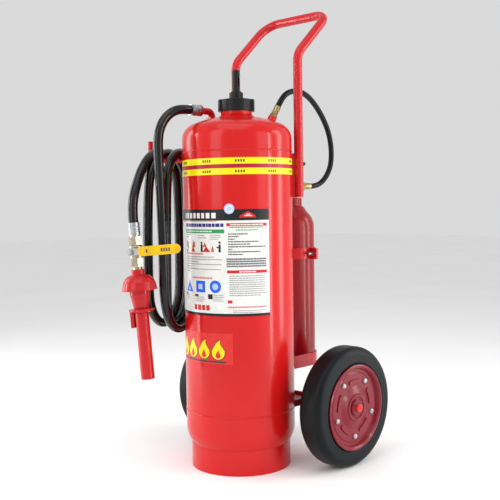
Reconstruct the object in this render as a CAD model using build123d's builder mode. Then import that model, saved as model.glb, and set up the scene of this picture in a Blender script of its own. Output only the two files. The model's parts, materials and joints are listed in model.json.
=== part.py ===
from build123d import *
import os
from math import atan2, cos, hypot, pi, radians, sin, sqrt, tan

os.makedirs("parts", exist_ok=True)

# ---------------------------------------------------------------- driving dimensions (mm, degrees)
# Places are measured from the vessel's upright axis: +X to the right wheel, -Y to the front label,
# +Z up from the floor.

# Pressure vessel
SHELL_R = 150.0
SHELL_WALL = 3.0
LOWER_SEAM_Z = 155.0
UPPER_SEAM_Z = 860.0
TOP_KNUCKLE_R = 45.0
TOP_KNUCKLE_Z = 892.5
BOTTOM_KNUCKLE_R = 80.0
BOTTOM_KNUCKLE_Z = 112.0
CROWN_R = 330.0
SEAM_BEAD_R = 2.2
SEAM_PROUD = 1.4
FOOT_R = 137.0
FOOT_WALL = 3.5
FOOT_H = 62.5
NECK_R = 43.0
NECK_BORE_R = 30.0
NECK_TOP_Z = 968.0
THREAD_R = 38.8
THREAD_TOP_Z = 991.5

# Filler cap and relief valve
RUN_GAP = 0.06
CAP_R = 45.0
CAP_LUG_R = 50.0
CAP_LUG_W = 41.0
CAP_Z = 969.5
CAP_TOP_Z = 1001.0
CAP_ROOF = 8.0
GASKET_H = 1.5
COLLAR_R = 19.0
COLLAR_TOP_Z = 1025.0
RELIEF_R = 10.5
RELIEF_STEM_R = 9.6
RELIEF_BASE_Z = 984.0
RELIEF_TOP_Z = 1081.0
RELIEF_BORE_R = 7.5

# Wheels and axle
TYRE_R = 163.5
TYRE_HALF_W = 36.0
TYRE_X = 237.0
RIM_LIP_R = 116.0
RIM_SEAT_R = 112.0
SHEET = 2.5
DISC_A = 27.5
BOLT_CIRCLE_R = 80.0
BOLT_COUNT = 5
BOLT_START = -90.0
AXLE_R = 10.0
BUSH_R = 14.0
AXLE_TUBE_R = 16.5
AXLE_TUBE_END_X = 194.0
AXLE_CAP_R = 11.0
AXLE_CAP_X = 288.0
AXLE_Y = SHELL_R + AXLE_TUBE_R + 0.5

# Propellant gas cylinder on the back
GAS_Y = 227.0
GAS_R = 64.0
GAS_WALL = 5.0
GAS_BOTTOM_Z = 250.0
GAS_SHOULDER_Z = 650.0
GAS_NECK_Z = 711.0
GAS_TOP_Z = 733.0
GAS_NECK_R = 29.0
CLAMP_Z = 556.0
CLAMP_H = 32.0
CLAMP_THICK = 4.0
CLAMP_EAR_X = 94.0
CLAMP_BOLT_X = 80.0
TRAY_BOTTOM_Z = 245.0
TRAY_TOP_Z = 281.0
TRAY_THICK = 3.0
GAS_OUTLET_Z = 768.0
HANDWHEEL_R = 41.0
HANDWHEEL_Z = 832.0

# Push handle
TUBE_R = 12.5
TUBE_WALL = 2.0
HANDLE_X = 118.7
HANDLE_Y = 120.0
HANDLE_FOOT_Z = 734.0
HANDLE_BEND_Z = 1124.6
HANDLE_BAR_Y = 258.0
HANDLE_BAR_Z = 1253.5
HANDLE_BEND_R = 50.0
HANDLE_PLATE = 8.0

# Discharge hose, its hook and its coil
HOSE_R = 13.0
HOOK_ANGLE = 206.0
HOOK_R = 7.0
HOOK_END_Q = 258.0
HOOK_TIP_Z = 897.0
COIL_HALF_W = 118.0
COIL_TOP_Z = 862.0
COIL_BOTTOM_Z = 384.0
COIL_FIRST_Q = 168.0
COIL_PITCH = 28.0
COIL_TURNS = 3
ELBOW_X = -84.0
ELBOW_Y = -12.0
ELBOW_Z = 975.0
ELBOW_HEADING = 270.0
ELBOW_REACH = 50.0
ELBOW_BEND_R = 16.0
FERRULE_R = 15.3
FERRULE_L = 33.0
NOZZLE_Q = 226.0
NOZZLE_S = 188.0
NOZZLE_Z = 672.0
NOZZLE_TILT = 4.5

# Gas hose
GAS_HOSE_R = 8.0
GAS_FERRULE_R = 9.3
INLET_TOP = (72.0, 88.0, 981.0)
INLET_TILT = 35.0
INLET_L = 41.0

# The origin is under the middle of the cart: halfway from the vessel's front to the tyres' back.
VESSEL_Y = -(AXLE_Y + TYRE_R - SHELL_R - SEAM_PROUD) / 2


# ---------------------------------------------------------------- helpers
def base(x, y, z, up=(0, 0, 1), across=(1, 0, 0)):
    """A plane at a point measured from the vessel's axis."""
    return Plane(origin=(x, y + VESSEL_Y, z), x_dir=across, z_dir=up)


def spin(about, *outline, mode=Mode.ADD):
    """Revolves a closed outline of (radius, height) points about a plane's normal."""
    across = Plane(origin=about.origin, x_dir=about.x_dir, z_dir=about.x_dir.cross(about.z_dir))
    with BuildSketch(across) as outline_sketch:
        with BuildLine():
            Polyline(*outline, close=True)
        make_face()
    revolve(outline_sketch.sketch, axis=Axis(about.origin, about.z_dir), mode=mode)


def rod(foot, radius, height, mode=Mode.ADD):
    """A plain round bar standing on a plane."""
    with BuildSketch(foot) as disc:
        Circle(radius)
    extrude(disc.sketch, amount=height, mode=mode)


def hexagon(foot, across_flats, height, mode=Mode.ADD):
    """A hexagonal bar standing on a plane."""
    with BuildSketch(foot) as hex_face:
        RegularPolygon(across_flats / 2, 6, major_radius=False)
    extrude(hex_face.sketch, amount=height, mode=mode)


def save(piece, name):
    """Labels one finished sub-part and writes its STEP file."""
    piece.part.label = name
    export_step(piece.part, f"parts/{name}.step")


def corner_radii(route):
    """The largest even arcs of a route: 0.45 of the shorter run over the tangent of half the turn."""
    points = [Vector(*p) for p in route]
    radii = []
    for before, corner, after in zip(points, points[1:], points[2:]):
        arriving, leaving = corner - before, after - corner
        turn = radians(arriving.get_angle(leaving))
        radii.append(0.45 * min(arriving.length, leaving.length) / tan(turn / 2))
    return radii


def hose_tube(route, radius, name):
    """One plain round tube along straight runs joined by tangent arcs."""
    placed = [(x, y + VESSEL_Y, z) for x, y, z in route]
    radii = corner_radii(placed)
    with BuildPart() as tube:
        with BuildLine() as path:
            FilletPolyline(*placed, radius=radii)
        with BuildSketch(Plane(origin=path.line @ 0, z_dir=path.line % 0)):
            Circle(radius)
        sweep()
    length = sum(edge.length for edge in path.edges())
    expected = pi * radius**2 * length
    print(name, "length", round(length), "radii", [round(r) for r in radii])
    print(name, "volume over section x length", round(tube.part.volume / expected, 4))
    save(tube, name)


# ---------------------------------------------------------------- pressure vessel
vessel = base(0, 0, 0)


def dish(radius, knuckle_r, knuckle_z, crown_r, seam_z, side):
    """The outline of a dished end, from its seam over the knuckle to the axis; side is 1 up, -1 down."""
    knuckle = (radius - knuckle_r, knuckle_z)
    crown_z = knuckle_z - side * sqrt((crown_r - knuckle_r) ** 2 - knuckle[0] ** 2)
    lean = atan2(abs(knuckle_z - crown_z), knuckle[0])
    meet = (crown_r * cos(lean), crown_z + side * crown_r * sin(lean))
    halfway = lean / 2
    middle = (knuckle[0] + knuckle_r * cos(halfway), knuckle_z + side * knuckle_r * sin(halfway))
    top = (0.0, crown_z + side * crown_r)
    crown_half = (lean + radians(90)) / 2
    crown_middle = (crown_r * cos(crown_half), crown_z + side * crown_r * sin(crown_half))
    with BuildSketch(Plane(origin=vessel.origin, x_dir=(1, 0, 0), z_dir=(0, -1, 0))) as face:
        with BuildLine():
            Line((radius, seam_z), (radius, knuckle_z))
            ThreePointArc((radius, knuckle_z), middle, meet)
            ThreePointArc(meet, crown_middle, top)
            Polyline(top, (0, seam_z), (radius, seam_z))
        make_face()
    return face.sketch


def crown_height(r):
    """The height of the top dish's outer face at a distance r from the axis."""
    drop = sqrt((CROWN_R - TOP_KNUCKLE_R) ** 2 - (SHELL_R - TOP_KNUCKLE_R) ** 2)
    return TOP_KNUCKLE_Z - drop + sqrt(CROWN_R**2 - r**2)


vessel_axis = Axis(vessel.origin, (0, 0, 1))
inner_r = SHELL_R - SHELL_WALL

with BuildPart() as barrel:
    spin(
        vessel,
        (inner_r, LOWER_SEAM_Z), (SHELL_R, LOWER_SEAM_Z), (SHELL_R, UPPER_SEAM_Z), (inner_r, UPPER_SEAM_Z),
    )
    for seam_z in (LOWER_SEAM_Z + SEAM_BEAD_R + 0.5, UPPER_SEAM_Z - SEAM_BEAD_R - 0.5):
        with BuildSketch(Plane(origin=vessel.origin, x_dir=(1, 0, 0), z_dir=(0, -1, 0))):
            with Locations((SHELL_R + SEAM_PROUD - SEAM_BEAD_R, seam_z)):
                Circle(SEAM_BEAD_R)
        revolve(axis=vessel_axis)
save(barrel, "barrel")

inlet_axis = Vector(0, sin(radians(INLET_TILT)), cos(radians(INLET_TILT)))
inlet_foot = Vector(*INLET_TOP) - inlet_axis * INLET_L
inlet = base(inlet_foot.X, inlet_foot.Y, inlet_foot.Z, up=inlet_axis)
inlet_sunk = base(*(inlet_foot - inlet_axis * 12), up=inlet_axis)
INLET_BOSS_R = 12.0
ELBOW_BOSS_R = 16.0
elbow_foot_z = crown_height(hypot(ELBOW_X, ELBOW_Y)) + 3.0

with BuildPart() as top_dish:
    revolve(dish(SHELL_R, TOP_KNUCKLE_R, TOP_KNUCKLE_Z, CROWN_R, UPPER_SEAM_Z, 1), axis=vessel_axis)
    hollow = dish(
        inner_r, TOP_KNUCKLE_R - SHELL_WALL, TOP_KNUCKLE_Z, CROWN_R - SHELL_WALL, UPPER_SEAM_Z, 1
    )
    revolve(hollow, axis=vessel_axis, mode=Mode.SUBTRACT)
    rod(base(0, 0, UPPER_SEAM_Z + 20), NECK_R, 120, mode=Mode.SUBTRACT)
    rod(base(ELBOW_X, ELBOW_Y, UPPER_SEAM_Z + 20), ELBOW_BOSS_R, 120, mode=Mode.SUBTRACT)
    rod(inlet_sunk, INLET_BOSS_R, 40, mode=Mode.SUBTRACT)
save(top_dish, "top_dish")

with BuildPart() as bottom_dish:
    revolve(dish(SHELL_R, BOTTOM_KNUCKLE_R, BOTTOM_KNUCKLE_Z, CROWN_R, LOWER_SEAM_Z, -1), axis=vessel_axis)
    hollow = dish(
        inner_r, BOTTOM_KNUCKLE_R - SHELL_WALL, BOTTOM_KNUCKLE_Z, CROWN_R - SHELL_WALL, LOWER_SEAM_Z, -1
    )
    revolve(hollow, axis=vessel_axis, mode=Mode.SUBTRACT)
save(bottom_dish, "bottom_dish")

foot_inner_r = FOOT_R - FOOT_WALL
with BuildPart() as foot_ring:
    spin(vessel, (foot_inner_r, 0), (FOOT_R, 0), (FOOT_R, FOOT_H + 5), (foot_inner_r, FOOT_H))
save(foot_ring, "foot_ring")

# The neck passes through the top dish and carries the cap's thread above its shoulder.
flare_r = NECK_R + 7
with BuildPart() as neck_collar:
    spin(
        vessel,
        (NECK_BORE_R, 932), (NECK_R, 932), (NECK_R, crown_height(NECK_R) + 0.2),
        (flare_r, crown_height(flare_r) + 0.2), (NECK_R + 2, 958.5), (NECK_R, 961), (NECK_R, NECK_TOP_Z),
        (THREAD_R, NECK_TOP_Z), (THREAD_R, THREAD_TOP_Z), (NECK_BORE_R, THREAD_TOP_Z),
    )
save(neck_collar, "neck_collar")

with BuildPart() as dome_bosses:
    rod(base(ELBOW_X, ELBOW_Y, elbow_foot_z - 16), ELBOW_BOSS_R, 16)
    rod(base(ELBOW_X, ELBOW_Y, elbow_foot_z - 17), 9.0, 20, mode=Mode.SUBTRACT)
    rod(inlet_sunk, INLET_BOSS_R, 17)
    rod(inlet_sunk, 6.0, 20, mode=Mode.SUBTRACT)
save(dome_bosses, "dome_bosses")

# Siphon tube: foam leaves from just above the bottom dish.
SIPHON_END_Z = 46.0
with BuildPart() as siphon_tube:
    siphon = base(ELBOW_X, ELBOW_Y, 0)
    spin(
        siphon,
        (7.0, SIPHON_END_Z), (9.0, SIPHON_END_Z), (9.0, elbow_foot_z - 6), (7.0, elbow_foot_z - 6),
    )
save(siphon_tube, "siphon_tube")

# Gas tube: the driving gas enters the foam through rows of holes near its closed lower end.
GAS_TUBE_BOTTOM_Z = 320.0
gas_tube_top_z = inlet_foot.Z - 14
with BuildPart() as gas_diffuser_tube:
    diffuser = base(inlet_foot.X, inlet_foot.Y - 7, GAS_TUBE_BOTTOM_Z)
    tube_l = gas_tube_top_z - GAS_TUBE_BOTTOM_Z - 6
    spin(diffuser, (0, 0), (7, 0), (7, tube_l), (5.5, tube_l), (5.5, 2), (0, 2))
    for row in range(6):
        hole_z = GAS_TUBE_BOTTOM_Z + 15 + 18 * row
        drill = base(inlet_foot.X - 10, inlet_foot.Y - 7, hole_z, up=(1, 0, 0), across=(0, 1, 0))
        rod(drill, 1.5, 20, mode=Mode.SUBTRACT)
save(gas_diffuser_tube, "gas_diffuser_tube")

# ---------------------------------------------------------------- filler cap and relief valve
CAP_LUGS = 4
gasket_r = THREAD_R - 0.5
cap_roof_z = THREAD_TOP_Z + GASKET_H
with BuildPart() as filler_cap:
    rod(base(0, 0, CAP_Z), CAP_R, CAP_TOP_Z - CAP_Z)
    with BuildSketch(base(0, 0, CAP_Z)):
        with PolarLocations(CAP_LUG_R - 6, CAP_LUGS, start_angle=45):
            Rectangle(12, CAP_LUG_W)
        Circle(CAP_LUG_R, mode=Mode.INTERSECT)
    extrude(amount=CAP_TOP_Z - CAP_Z)
    chamfer(filler_cap.faces().sort_by(Axis.Z)[-1].outer_wire().edges(), length=1.5)
    rod(base(0, 0, CAP_Z), THREAD_R + RUN_GAP, cap_roof_z - CAP_Z, mode=Mode.SUBTRACT)
    rod(base(0, 0, CAP_Z), RELIEF_STEM_R, CAP_TOP_Z, mode=Mode.SUBTRACT)
save(filler_cap, "filler_cap")

with BuildPart() as cap_gasket:
    spin(
        vessel,
        (NECK_BORE_R, THREAD_TOP_Z), (gasket_r, THREAD_TOP_Z), (gasket_r, cap_roof_z),
        (NECK_BORE_R, cap_roof_z),
    )
save(cap_gasket, "cap_gasket")

collar_shoulder_z = COLLAR_TOP_Z - 6
with BuildPart() as relief_collar:
    spin(
        vessel,
        (RELIEF_STEM_R, CAP_TOP_Z), (COLLAR_R - 1.5, CAP_TOP_Z), (COLLAR_R - 1.5, CAP_TOP_Z + 3),
        (COLLAR_R, CAP_TOP_Z + 3), (COLLAR_R, collar_shoulder_z), (RELIEF_R + 1, COLLAR_TOP_Z),
        (RELIEF_STEM_R, COLLAR_TOP_Z),
    )
save(relief_collar, "relief_collar")

SEAT_Z = 1004.0
PLUG_L = 12.0
PLUG_HEAD_H = 5.0
VENT_MID_Z = 1051.0
VENT_L = 29.0
VENT_W = 5.0
plug_z = RELIEF_TOP_Z - PLUG_L
plug_head_z = RELIEF_TOP_Z - PLUG_HEAD_H
with BuildPart() as relief_housing:
    rod(base(0, 0, RELIEF_BASE_Z), RELIEF_STEM_R, COLLAR_TOP_Z - RELIEF_BASE_Z)
    rod(base(0, 0, COLLAR_TOP_Z), RELIEF_R, plug_head_z - COLLAR_TOP_Z)
    rod(base(0, 0, RELIEF_BASE_Z), 4.0, 40, mode=Mode.SUBTRACT)
    rod(base(0, 0, SEAT_Z), RELIEF_BORE_R, RELIEF_TOP_Z - SEAT_Z, mode=Mode.SUBTRACT)
    for side in (1, -1):
        vent = base(0, 0, VENT_MID_Z, up=(side, 0, 0), across=(0, side, 0))
        with BuildSketch(vent):
            SlotOverall(VENT_L, VENT_W, rotation=90)
        extrude(amount=20, mode=Mode.SUBTRACT)
save(relief_housing, "relief_housing")

with BuildPart() as relief_plug:
    spin(
        vessel,
        (0, plug_z), (RELIEF_BORE_R, plug_z), (RELIEF_BORE_R, plug_head_z), (RELIEF_R, plug_head_z),
        (RELIEF_R, RELIEF_TOP_Z - 1.5), (RELIEF_R - 1.5, RELIEF_TOP_Z), (0, RELIEF_TOP_Z),
    )
save(relief_plug, "relief_plug")

RELIEF_LIFT = 3.0
DISC_H = 4.0
GUIDE_R = 3.0
GUIDE_H = 22.0
disc_top_z = SEAT_Z + DISC_H
disc_r = RELIEF_BORE_R - 0.08
with BuildPart() as relief_poppet:
    rod(base(0, 0, SEAT_Z), disc_r, DISC_H)
    rod(base(0, 0, disc_top_z), GUIDE_R, GUIDE_H)
save(relief_poppet, "relief_poppet")

SPRING_COILS = 9
SPRING_R = 5.2
SPRING_WIRE_R = 0.9
spring_foot_z = disc_top_z + 1.2
spring_h = plug_z - RELIEF_LIFT - 2.2 - spring_foot_z
with BuildPart() as relief_spring:
    with BuildLine(base(0, 0, spring_foot_z)) as coil_line:
        Helix(pitch=spring_h / SPRING_COILS, height=spring_h, radius=SPRING_R)
    with BuildSketch(Plane(origin=coil_line.line @ 0, z_dir=coil_line.line % 0)):
        Circle(SPRING_WIRE_R)
    sweep(is_frenet=True)
save(relief_spring, "relief_spring")

# ---------------------------------------------------------------- outlet elbow and hose fittings
heading = radians(ELBOW_HEADING)
toward = Vector(cos(heading), sin(heading), 0)


def elbow_point(out, z):
    """A point a distance out along the elbow's heading, at a height."""
    return (ELBOW_X + toward.X * out, ELBOW_Y + toward.Y * out, z)


def placed(point):
    """A point measured from the vessel's axis, in the model's frame."""
    x, y, z = point
    return (x, y + VESSEL_Y, z)


with BuildPart() as outlet_elbow:
    hexagon(base(ELBOW_X, ELBOW_Y, elbow_foot_z), 27, 9)
    for bore_r, mode in ((9.5, Mode.ADD), (6.5, Mode.SUBTRACT)):
        with BuildLine() as bend:
            FilletPolyline(
                placed(elbow_point(0, elbow_foot_z)),
                placed(elbow_point(0, ELBOW_Z)),
                placed(elbow_point(ELBOW_REACH - 14, ELBOW_Z)),
                radius=ELBOW_BEND_R - 0.5,
            )
        with BuildSketch(Plane(origin=bend.line @ 0, z_dir=bend.line % 0)) as bore:
            Circle(bore_r)
        sweep(bore.sketch, path=bend.line, mode=mode)
    mouth = base(*elbow_point(ELBOW_REACH - 14, ELBOW_Z), up=toward, across=(0, 0, 1))
    spin(
        mouth,
        (6.5, 0), (9.5, 0), (13.5, 9), (15.8, 9), (15.8, 14), (8.5, 14), (8.5, 14 + FERRULE_L),
        (6.5, 14 + FERRULE_L),
    )
save(outlet_elbow, "outlet_elbow")

hook = radians(HOOK_ANGLE)
out_dir = Vector(cos(hook), sin(hook), 0)
front_dir = Vector(-sin(hook), cos(hook), 0)


def beside(q, s, z):
    """A point at q out along the hook's arm, s toward the front of the coil, at height z."""
    return (out_dir.X * q + front_dir.X * s, out_dir.Y * q + front_dir.Y * s, z)


# The nozzle hangs from the hose's end, leaning a little: its plane's z axis points down along it.
lean = radians(NOZZLE_TILT)
down = Vector(-out_dir.X * sin(lean), -out_dir.Y * sin(lean), -cos(lean))
lever_dir = Vector(0, 0, 0) - out_dir * cos(lean) + Vector(0, 0, sin(lean))
nozzle_top = Vector(*beside(NOZZLE_Q, NOZZLE_S, NOZZLE_Z))


def along(distance):
    """A plane square to the hanging nozzle, at a distance below the hose's end."""
    spot = nozzle_top + down * distance
    return base(spot.X, spot.Y, spot.Z, up=down, across=lever_dir)


groove_r = FERRULE_R - 0.8
ferrule_mouth = base(*elbow_point(ELBOW_REACH, ELBOW_Z), up=toward, across=(0, 0, 1))
with BuildPart() as hose_ferrules:
    for foot in (ferrule_mouth, along(0)):
        spin(
            foot,
            (8.5, 0), (FERRULE_R, 0), (FERRULE_R, 7), (groove_r, 8), (groove_r, 12), (FERRULE_R, 13),
            (FERRULE_R, 18), (groove_r, 19), (groove_r, 23), (FERRULE_R, 24), (FERRULE_R, FERRULE_L),
            (8.5, FERRULE_L),
        )
save(hose_ferrules, "hose_ferrules")

# ---------------------------------------------------------------- ball valve at the hose's end
BODY_D = 37.0
BALL_AT = 76.0
BALL_R = 12.5
BALL_BORE_R = 8.0
BODY_END = 93.0
STEM_R = 4.0
stem_dir = front_dir
LEVER_AT = 30.0
LEVER_L = 138.0

ball_spot = nozzle_top + down * BALL_AT
stem = base(ball_spot.X, ball_spot.Y, ball_spot.Z, up=stem_dir, across=lever_dir)


def stem_at(height):
    """A plane square to the valve's stem, at a height above the ball's centre."""
    spot = ball_spot + stem_dir * height
    return base(spot.X, spot.Y, spot.Z, up=stem_dir, across=lever_dir)


with BuildPart() as valve_body:
    rod(along(0), 8.5, BODY_D)
    rod(along(FERRULE_L), 12.0, 8)
    hexagon(along(BODY_D), 31, 22)
    spin(along(0), (0, 59), (15, 59), (17.5, 63), (17.5, BODY_END), (0, BODY_END))
    rod(stem_at(10), 9.0, 14)
    rod(along(0), 6.5, 62, mode=Mode.SUBTRACT)
    rod(along(BALL_AT - 14), BALL_R + RUN_GAP, 40, mode=Mode.SUBTRACT)
    rod(stem_at(8), STEM_R + RUN_GAP, 30, mode=Mode.SUBTRACT)
save(valve_body, "valve_body")

with BuildPart() as valve_end:
    hexagon(along(BODY_END), 30, 23)
    rod(along(BODY_END - 3.5), BALL_R + RUN_GAP - 0.01, 3.5)
    rod(along(BODY_END + 23), 12.0, 7)
    rod(along(BODY_END - 4), BALL_BORE_R, 40, mode=Mode.SUBTRACT)
save(valve_end, "valve_end")

with BuildPart() as valve_seats:
    spin(along(BALL_AT), (BALL_BORE_R, -13.9), (BALL_R, -13.9), (BALL_R, -4.5), (BALL_BORE_R, -4.5))
    spin(along(BALL_AT), (BALL_BORE_R, 4.5), (BALL_R, 4.5), (BALL_R, 13.4), (BALL_BORE_R, 13.4))
    with Locations(along(BALL_AT)):
        Sphere(BALL_R + RUN_GAP, mode=Mode.SUBTRACT)
save(valve_seats, "valve_seats")

# Closed at rest: the ball's bore lies square to the pipe, in line with the lever.
with BuildPart() as valve_ball:
    with Locations(stem):
        Sphere(BALL_R)
    across_bore = base(*(ball_spot - lever_dir * 20), up=lever_dir, across=stem_dir)
    rod(across_bore, BALL_BORE_R, 40, mode=Mode.SUBTRACT)
    rod(stem_at(9.5), STEM_R, 10, mode=Mode.SUBTRACT)
save(valve_ball, "valve_ball")

with BuildPart() as valve_stem:
    rod(stem_at(9.5), STEM_R, LEVER_AT + 11 - 9.5)
save(valve_stem, "valve_stem")

LEVER_THICK = 3.0
SLEEVE_FROM = 22.0
SLEEVE_W = 25.0
SLEEVE_THICK = 7.0
BLADE_W = 18.0
BLADE_END = LEVER_L - 4.0


def strip(foot, start, end, width):
    """A flat strip's face from start to end along the lever, its far end round."""
    with BuildSketch(foot) as face:
        with BuildLine():
            Line((start, -width / 2), (end - width / 2, -width / 2))
            ThreePointArc((end - width / 2, -width / 2), (end, 0), (end - width / 2, width / 2))
            Polyline((end - width / 2, width / 2), (start, width / 2), (start, -width / 2))
        make_face()
    return face.sketch


with BuildPart() as valve_lever:
    extrude(strip(stem_at(LEVER_AT), 0, BLADE_END, BLADE_W), amount=LEVER_THICK)
    rod(stem_at(LEVER_AT), 11.0, LEVER_THICK)
    rod(stem_at(LEVER_AT - 5.5), 7.5, 5.5)
    rod(stem_at(LEVER_AT - 6), STEM_R, 20, mode=Mode.SUBTRACT)
save(valve_lever, "valve_lever")

sleeve_foot = stem_at(LEVER_AT + LEVER_THICK / 2 - SLEEVE_THICK / 2)
with BuildPart() as lever_sleeve:
    extrude(strip(sleeve_foot, SLEEVE_FROM, LEVER_L, SLEEVE_W), amount=SLEEVE_THICK)
    fillet(lever_sleeve.faces().sort_by(Axis(placed(ball_spot), stem_dir))[-1].edges(), radius=1.5)
    extrude(strip(stem_at(LEVER_AT), 0, BLADE_END, BLADE_W), amount=LEVER_THICK, mode=Mode.SUBTRACT)
save(lever_sleeve, "lever_sleeve")

with BuildPart() as lever_nut:
    hexagon(stem_at(LEVER_AT + LEVER_THICK), 13, 6)
    rod(stem_at(LEVER_AT), STEM_R, 20, mode=Mode.SUBTRACT)
save(lever_nut, "lever_nut")

# ---------------------------------------------------------------- foam nozzle
COLLAR_AT = BODY_END + 30
HOOD_AT = 135.0
HOOD_END = 178.0
CONE_END = 226.0
RING_AT = 224.0
TUBE_END = 412.0
HOOD_R = 46.0
FOAM_TUBE_R = 18.0
TAB_THICK = 10.0
TAB_W = 16.0
TAB_L = 46.0

with BuildPart() as nozzle_hood:
    spin(
        along(0),
        (6, COLLAR_AT), (17.5, COLLAR_AT), (17.5, HOOD_AT + 1), (27, HOOD_AT + 4), (36, HOOD_AT + 11),
        (42, HOOD_AT + 21), (HOOD_R - 0.5, HOOD_END - 6), (HOOD_R, HOOD_END), (HOOD_R - 2.5, HOOD_END),
        (39.5, HOOD_AT + 23), (33.5, HOOD_AT + 13.5), (26, HOOD_AT + 7.5), (20, HOOD_AT + 6),
        (20, HOOD_AT + 14), (6, HOOD_AT + 14),
    )
save(nozzle_hood, "nozzle_hood")

with BuildPart() as nozzle_cone:
    spin(
        along(0),
        (20, HOOD_AT + 6.5), (23.5, HOOD_AT + 8), (28, HOOD_END - 4), (27, HOOD_END + 10), (20.5, RING_AT),
        (19.5, CONE_END), (FOAM_TUBE_R - 1, CONE_END), (17.0, RING_AT), (23.5, HOOD_END + 8),
        (24.5, HOOD_END - 4), (20, HOOD_AT + 14.2),
    )
save(nozzle_cone, "nozzle_cone")

with BuildPart() as nozzle_ring:
    spin(
        along(0),
        (20.6, RING_AT + 3), (33, RING_AT + 3), (34, RING_AT + 6), (33, RING_AT + 9),
        (FOAM_TUBE_R, RING_AT + 13), (FOAM_TUBE_R, CONE_END), (20.6, CONE_END),
    )
    with BuildSketch(along(RING_AT + 6)):
        with Locations((-26, 0)):
            Rectangle(TAB_THICK, TAB_W)
    extrude(amount=TAB_L)
save(nozzle_ring, "nozzle_ring")

with BuildPart() as foam_tube:
    rod(along(CONE_END), FOAM_TUBE_R, TUBE_END - CONE_END)
    rod(along(CONE_END), FOAM_TUBE_R - 2, TUBE_END - CONE_END, mode=Mode.SUBTRACT)
save(foam_tube, "foam_tube")

# ---------------------------------------------------------------- hose hook, coil and runs
hook_z = COIL_TOP_Z - HOSE_R - HOOK_R - 0.5
with BuildPart() as hose_hook:
    with BuildLine() as hook_line:
        FilletPolyline(
            placed(beside(SHELL_R + 4, 0, hook_z)),
            placed(beside(HOOK_END_Q, 0, hook_z)),
            placed(beside(HOOK_END_Q, 0, HOOK_TIP_Z)),
            radius=16,
        )
    with BuildSketch(Plane(origin=hook_line.line @ 0, z_dir=hook_line.line % 0)):
        Circle(HOOK_R)
    sweep()
    plate = base(*beside(SHELL_R - 8, 0, hook_z), up=out_dir, across=front_dir)
    with BuildSketch(plate):
        RectangleRounded(34, 26, 6)
    extrude(amount=12)
    rod(vessel, SHELL_R, 1000, mode=Mode.SUBTRACT)
save(hose_hook, "hose_hook")

coil_separation = COIL_TOP_Z - COIL_BOTTOM_Z - 2 * COIL_HALF_W
coil_mid_z = (COIL_TOP_Z + COIL_BOTTOM_Z) / 2
coil_face = base(*beside(COIL_FIRST_Q - HOSE_R, 0, coil_mid_z), up=out_dir, across=front_dir)
coil_width = COIL_PITCH * (COIL_TURNS - 1) + 2 * HOSE_R
with BuildPart() as hose_coil:
    with BuildSketch(coil_face):
        SlotCenterToCenter(coil_separation, 2 * (COIL_HALF_W + HOSE_R), rotation=90)
        SlotCenterToCenter(coil_separation, 2 * (COIL_HALF_W - HOSE_R), rotation=90, mode=Mode.SUBTRACT)
    extrude(amount=coil_width)
save(hose_coil, "hose_coil")

coil_low_z = COIL_BOTTOM_Z + COIL_HALF_W


def round_bottom(q, angle, radius):
    """A point on the coil's lower bend: angle is counted from the top, growing toward the front."""
    turn = radians(angle)
    return beside(q, radius * sin(turn), coil_low_z + radius * cos(turn))


OUTLET_ROUTE = [
    elbow_point(ELBOW_REACH + FERRULE_L, ELBOW_Z),
    (-84, -132, 975),
    (-85, -167, 961),
    (-86, -194, 934),
    (-85, -209, 898),
    (-83, -210, 842),
    (-82, -207, 770),
    (-80, -206, 700),
    (-79, -204, 615),
    (-80, -203, 535),
    round_bottom(161, 105, 149),
    round_bottom(165, 132, 147),
    round_bottom(168, 160, 139),
    round_bottom(168, 188, 128),
]
NOZZLE_ROUTE = [
    beside(224, -6, 862),
    beside(225, 36, 864),
    beside(226, 84, 848),
    beside(227, 130, 812),
    beside(229, 166, 764),
    tuple(nozzle_top - down * 42),
    beside(NOZZLE_Q, NOZZLE_S, NOZZLE_Z),
]
GAS_ROUTE = [
    INLET_TOP,
    tuple(Vector(*INLET_TOP) + inlet_axis * 28),
    (70, 130, 1024),
    (66, 168, 1034),
    (59, 213, 1033),
    (48, 266, 1016),
    (36, 322, 981),
    (24, 371, 936),
    (14, 398, 886),
    (7, 405, 838),
    (4, 392, 806),
    (2, 367, 781),
    (0, 335, GAS_OUTLET_Z),
    (0, 307, GAS_OUTLET_Z),
]
hose_tube(OUTLET_ROUTE, HOSE_R, "hose_outlet_run")
hose_tube(NOZZLE_ROUTE, HOSE_R, "hose_nozzle_run")
hose_tube(GAS_ROUTE, GAS_HOSE_R, "gas_hose")

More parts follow.
